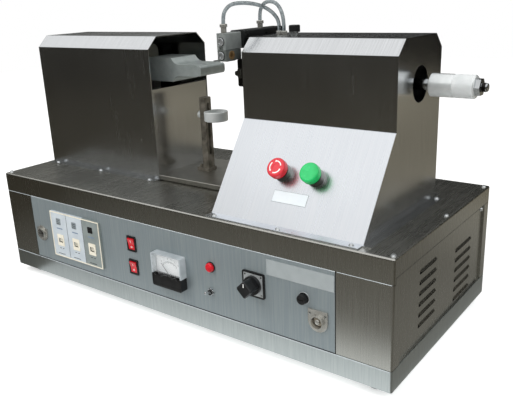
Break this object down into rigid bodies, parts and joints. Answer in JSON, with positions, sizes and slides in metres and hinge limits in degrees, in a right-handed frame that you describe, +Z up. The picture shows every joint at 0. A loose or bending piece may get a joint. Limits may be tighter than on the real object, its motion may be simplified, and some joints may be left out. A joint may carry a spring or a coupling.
{
  "type": "tube sealing machine",
  "caption": "Bench machine that seals tubes between a fixed horn and a sliding anvil with a trimming knife, on a steel cabinet with a control panel.",
  "frame": {"origin": "bottom centre of the bounding box, on the table between the feet", "axes": "+X to the machine's right side with the stroke adjuster, +Y to the back, +Z up"},
  "size_m": [0.8914, 0.4262, 0.526],
  "materials": {
    "skirt_steel": "brushed",
    "cabinet_steel": "brushed",
    "cover_steel": "brushed",
    "bright_steel": "brushed",
    "panel_steel": "satin",
    "foot_rubber": "matte",
    "timer_plastic": "matte",
    "wheel_plastic": "matte",
    "switch_plastic": "gloss",
    "red_rocker": "gloss",
    "chrome_trim": "polished",
    "meter_plastic": "gloss",
    "needle_metal": "matte",
    "meter_pane": "clear",
    "lamp_red": "gloss",
    "selector_metal": "satin",
    "knob_plastic": "gloss",
    "socket_nickel": "satin",
    "collar_plastic": "satin",
    "stop_red": "gloss",
    "start_green": "gloss",
    "machined_steel": "machined",
    "ring_steel": "polished",
    "horn_titanium": "satin",
    "converter_aluminium": "satin",
    "cylinder_aluminium": "anodised",
    "rod_chrome": "polished",
    "blackened_steel": "blackened",
    "anvil_steel": "ground",
    "trim_grey": "anodised",
    "trim_black": "anodised",
    "fitting_nickel": "nickel plated",
    "hose_clear": "translucent",
    "coil_black": "matte",
    "inlet_black": "matte",
    "generator_paint": "satin"
  },
  "bodies": {
    "frame": {"base_tray": "skirt_steel", "rubber_feet": "foot_rubber", "cabinet_body": "cabinet_steel", "top_cover": "cabinet_steel", "vent_panels": "cabinet_steel", "control_panel": "panel_steel", "timer_bank": "timer_plastic", "switch_bodies": "switch_plastic", "meter_case": "meter_plastic", "meter_window": "meter_pane", "pilot_lamp": "lamp_red", "selector_plate": "selector_metal", "fuse_holder": "knob_plastic", "front_sockets": "socket_nickel", "left_tower_cover": "cover_steel", "right_tower_cover": "cover_steel", "tower_end_plates": "cover_steel", "slant_panel": "bright_steel", "button_collars": "collar_plastic", "bed_plate": "machined_steel", "nest_post": "machined_steel", "horn": "horn_titanium", "booster": "horn_titanium", "converter": "converter_aluminium", "stack_clamp": "machined_steel", "cylinder_bracket": "machined_steel", "air_cylinder": "cylinder_aluminium", "roof_fittings": "fitting_nickel", "front_hose": "hose_clear", "rear_hose": "hose_clear", "air_valves": "coil_black", "rear_inlets": "inlet_black", "generator_box": "generator_paint", "dome_screws": "chrome_trim"},
    "ram": {"ram_plate": "machined_steel", "ram_rods": "rod_chrome", "anvil_holder": "blackened_steel", "anvil": "anvil_steel", "trim_cap": "trim_grey", "trim_body": "trim_black", "ram_fittings": "fitting_nickel"},
    "stroke_knob": {"stroke_knob": "rod_chrome"},
    "knife_slide": {"knife_slide": "trim_grey", "knife": "anvil_steel"},
    "nest_ring": {"nest_ring": "ring_steel"},
    "estop_stem": {"estop_stem": "collar_plastic"},
    "estop_head": {"estop_head": "stop_red"},
    "start_button": {"start_head": "start_green"},
    "rocker_upper": {"rocker_upper": "red_rocker"},
    "rocker_lower": {"rocker_lower": "red_rocker"},
    "toggle_lever": {"toggle_lever": "chrome_trim"},
    "selector_knob": {"selector_knob": "knob_plastic"},
    "fuse_cap": {"fuse_cap": "knob_plastic"},
    "meter_needle": {"meter_needle": "needle_metal"},
    "timer_1_tens": {"timer_1_tens": "wheel_plastic"},
    "timer_1_units": {"timer_1_units": "wheel_plastic"},
    "timer_2_tens": {"timer_2_tens": "wheel_plastic"},
    "timer_2_units": {"timer_2_units": "wheel_plastic"},
    "timer_3_tens": {"timer_3_tens": "wheel_plastic"},
    "timer_3_units": {"timer_3_units": "wheel_plastic"}
  },
  "joints": [
    {"name": "ram_stroke", "type": "slide", "parent": "frame", "child": "ram", "axis": [-1, 0, 0], "range_m": [0, 0.075]},
    {"name": "stroke_adjuster_turn", "type": "hinge", "parent": "ram", "child": "stroke_knob", "pos_m": [0.39435, 0.0036, 0.4035], "axis": [1, 0, 0], "continuous": true},
    {"name": "knife_travel", "type": "slide", "parent": "ram", "child": "knife_slide", "axis": [0, 1, 0], "range_m": [0, 0.092]},
    {"name": "nest_height", "type": "slide", "parent": "frame", "child": "nest_ring", "axis": [0, 0, 1], "range_m": [-0.07, 0.019]},
    {"name": "stop_push", "type": "slide", "parent": "frame", "child": "estop_stem", "axis": [0, 0.8207, -0.5714], "range_m": [0, 0.0047], "stiffness_N_per_m": 1500},
    {"name": "stop_twist", "type": "hinge", "parent": "estop_stem", "child": "estop_head", "pos_m": [0.19035, -0.13119, 0.28872], "axis": [0, -0.8207, 0.5714], "range_deg": [-40, 0], "stiffness_Nm_per_rad": 0.08},
    {"name": "start_push", "type": "slide", "parent": "frame", "child": "start_button", "axis": [0, 0.8207, -0.5714], "range_m": [0, 0.0047], "stiffness_N_per_m": 900},
    {"name": "rocker_upper_tilt", "type": "hinge", "parent": "frame", "child": "rocker_upper", "pos_m": [-0.0859, -0.1867, 0.1325], "axis": [1, 0, 0], "range_deg": [-18, 0]},
    {"name": "rocker_lower_tilt", "type": "hinge", "parent": "frame", "child": "rocker_lower", "pos_m": [-0.0859, -0.1867, 0.089], "axis": [1, 0, 0], "range_deg": [-18, 0]},
    {"name": "toggle_tilt", "type": "hinge", "parent": "frame", "child": "toggle_lever", "pos_m": [0.09135, -0.1891, 0.087], "axis": [1, 0, 0], "range_deg": [0, 28]},
    {"name": "selector_turn", "type": "hinge", "parent": "frame", "child": "selector_knob", "pos_m": [0.17835, -0.1969, 0.122], "axis": [0, -1, 0], "range_deg": [-90, 90]},
    {"name": "fuse_cap_turn", "type": "hinge", "parent": "frame", "child": "fuse_cap", "pos_m": [0.26705, -0.1919, 0.1228], "axis": [0, -1, 0], "range_deg": [0, 45]},
    {"name": "needle_swing", "type": "hinge", "parent": "frame", "child": "meter_needle", "pos_m": [0.00585, -0.1926, 0.096], "axis": [0, -1, 0], "range_deg": [-84, 0], "stiffness_Nm_per_rad": 0.0004},
    {"name": "timer_1_tens_turn", "type": "hinge", "parent": "frame", "child": "timer_1_tens", "pos_m": [-0.28625, -0.1786, 0.1005], "axis": [1, 0, 0], "continuous": true},
    {"name": "timer_1_units_turn", "type": "hinge", "parent": "frame", "child": "timer_1_units", "pos_m": [-0.28005, -0.1786, 0.1005], "axis": [1, 0, 0], "continuous": true},
    {"name": "timer_2_tens_turn", "type": "hinge", "parent": "frame", "child": "timer_2_tens", "pos_m": [-0.24025, -0.1786, 0.1005], "axis": [1, 0, 0], "continuous": true},
    {"name": "timer_2_units_turn", "type": "hinge", "parent": "frame", "child": "timer_2_units", "pos_m": [-0.23405, -0.1786, 0.1005], "axis": [1, 0, 0], "continuous": true},
    {"name": "timer_3_tens_turn", "type": "hinge", "parent": "frame", "child": "timer_3_tens", "pos_m": [-0.19425, -0.1786, 0.1005], "axis": [1, 0, 0], "continuous": true},
    {"name": "timer_3_units_turn", "type": "hinge", "parent": "frame", "child": "timer_3_units", "pos_m": [-0.18805, -0.1786, 0.1005], "axis": [1, 0, 0], "continuous": true}
  ]
}
